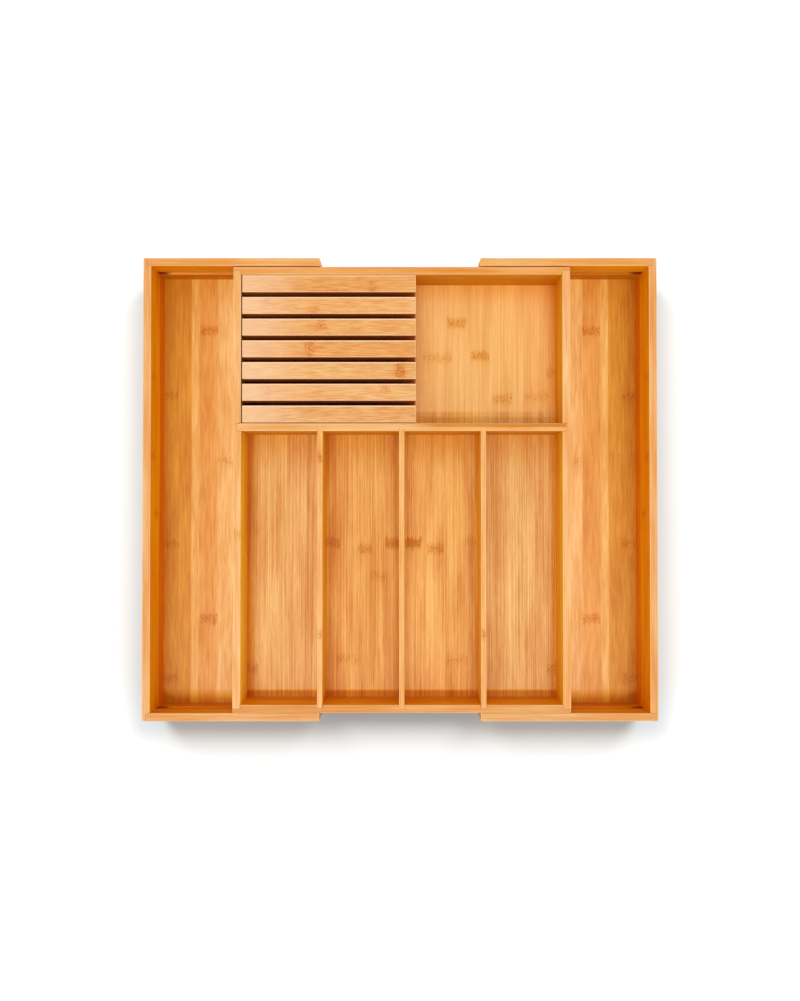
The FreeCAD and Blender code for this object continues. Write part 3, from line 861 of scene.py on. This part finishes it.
def makeFloor():
    mesh = bpy.data.meshes.new("studio_floor")
    reach, height = studio["floorReach"], -studio["floorBelow"] * mm
    corners = [(x * reach, y * reach, height) for x, y in ((-1, -1), (1, -1), (1, 1), (-1, 1))]
    mesh.from_pydata(corners, [], [(0, 1, 2, 3)])
    floor = bpy.data.objects.new("studio_floor", mesh)
    bpy.context.scene.collection.objects.link(floor)
    material = bpy.data.materials.new("whiteFloor")
    material.use_nodes = True
    tree = material.node_tree
    tree.nodes.remove(tree.nodes["Principled BSDF"])
    # close to the tray the floor is a little cooler, against the warm light that the wood throws on it
    where = addNode(tree, "ShaderNodeTexCoord").outputs["Object"]
    x, y = apart(tree, where)[:2]
    aside = maths(tree, "MAXIMUM", maths(tree, "SUBTRACT", maths(tree, "ABSOLUTE", x), cadHigh[0]),
                  maths(tree, "SUBTRACT", maths(tree, "ABSOLUTE", y), cadHigh[1]))
    near = maths(tree, "MULTIPLY", fadeOver(tree, aside, studio["nearOutside"]),
                 fadeOver(tree, aside, studio["nearInside"]))
    tone = mixColours(tree, near, (*studio["floorColour"], 1), (*studio["floorNear"], 1))
    matte = addNode(tree, "ShaderNodeBsdfDiffuse", {"Color": tone})
    # away from the tray it is plain white for the camera and in reflections
    seen = addNode(tree, "ShaderNodeLightPath").outputs
    seen = maths(tree, "MAXIMUM", seen["Is Camera Ray"], seen["Is Glossy Ray"])
    away = addNode(tree, "ShaderNodeVectorMath", {0: where}, operation="LENGTH").outputs["Value"]
    glow = fadeOver(tree, away, studio["glowOver"], 0.0, studio["glow"])
    glow = addNode(tree, "ShaderNodeEmission", {"Strength": maths(tree, "MULTIPLY", seen, glow)})
    both = addNode(tree, "ShaderNodeAddShader", {0: matte.outputs[0], 1: glow.outputs[0]})
    tree.links.new(both.outputs[0], tree.nodes["Material Output"].inputs["Surface"])
    mesh.materials.append(material)
    return floor


def makeLamp(name, at, towards, size, level, lit):
    # level is how bright it makes a white surface below it, 1 is white
    data = bpy.data.lights.new(name, "AREA")
    data.shape = "RECTANGLE"
    data.size, data.size_y = size
    lamp = bpy.data.objects.new(name, data)
    bpy.context.scene.collection.objects.link(lamp)
    lamp.location = at
    way = Vector(towards) - Vector(at)
    lamp.rotation_euler = way.to_track_quat("-Z", "Y").to_euler()
    data.energy = level * math.pi ** 2 * way.length ** 2 / abs(way.normalized().z)
    group = bpy.data.collections.new(name + "_lights")
    for thing in lit:
        group.objects.link(thing)
    lamp.light_linking.receiver_collection = group
    return lamp


def makeWorld():
    # a plain white room: soft light from low around, less from above, where the key lamp is
    world = bpy.data.worlds.new("studio")
    bpy.context.scene.world = world
    world.use_nodes = True
    tree = world.node_tree
    path = addNode(tree, "ShaderNodeLightPath").outputs
    shown = maths(tree, "MAXIMUM", path["Is Camera Ray"], path["Is Glossy Ray"])
    shown = maths(tree, "MAXIMUM", shown, path["Is Transmission Ray"])
    height = apart(tree, addNode(tree, "ShaderNodeTexCoord").outputs["Generated"])[2]
    light = fade(tree, height, *studio["skyOver"], studio["skyLow"], studio["skyHigh"])
    strength = maths(tree, "MULTIPLY_ADD", shown, maths(tree, "SUBTRACT", 1.0, light), light)
    tree.links.new(strength, tree.nodes["Background"].inputs["Strength"])
    tree.nodes["Background"].inputs["Color"].default_value = (1, 1, 1, 1)


def makeLamps(floor):
    # each side tray has a key lamp a little to its own side, so that the centre tray doesn't shade it
    members = frame["record"]["behaviour"]["bodies"]
    for side, across in (("left", -studio["keySide"]), ("right", studio["keySide"]), ("centre", 0.0)):
        bodies = ("centre_tray", "knife_block") if side == "centre" else (side + "_tray",)
        lit = [frame["nodes"][name] for body in bodies for name in members[body]]
        lit += [piece for piece in glueLines if piece.name == "glue_lines_" + bodies[0]]
        makeLamp(side + "KeyLamp", (across, studio["keyForward"], studio["keyHeight"]), studio["keyAim"],
                 (studio["keyWidth"][side], studio["keyDepth"]), studio["keyLevel"], lit)
    for at in studio["floorLampsAt"]:
        lamp = makeLamp("floorLamp", at, (0, 0, 0), studio["floorLampSize"], studio["floorLevel"], [floor])
        lamp.data.color = studio["floorLampColour"]
    makeLamp("floorFillLamp", studio["fillAt"], (0, 0, 0), studio["fillSize"], studio["fillLevel"], [floor])


makeWorld()
makeLamps(makeFloor())
bpy.context.scene.view_settings.view_transform = "Standard"
print("studio ready")
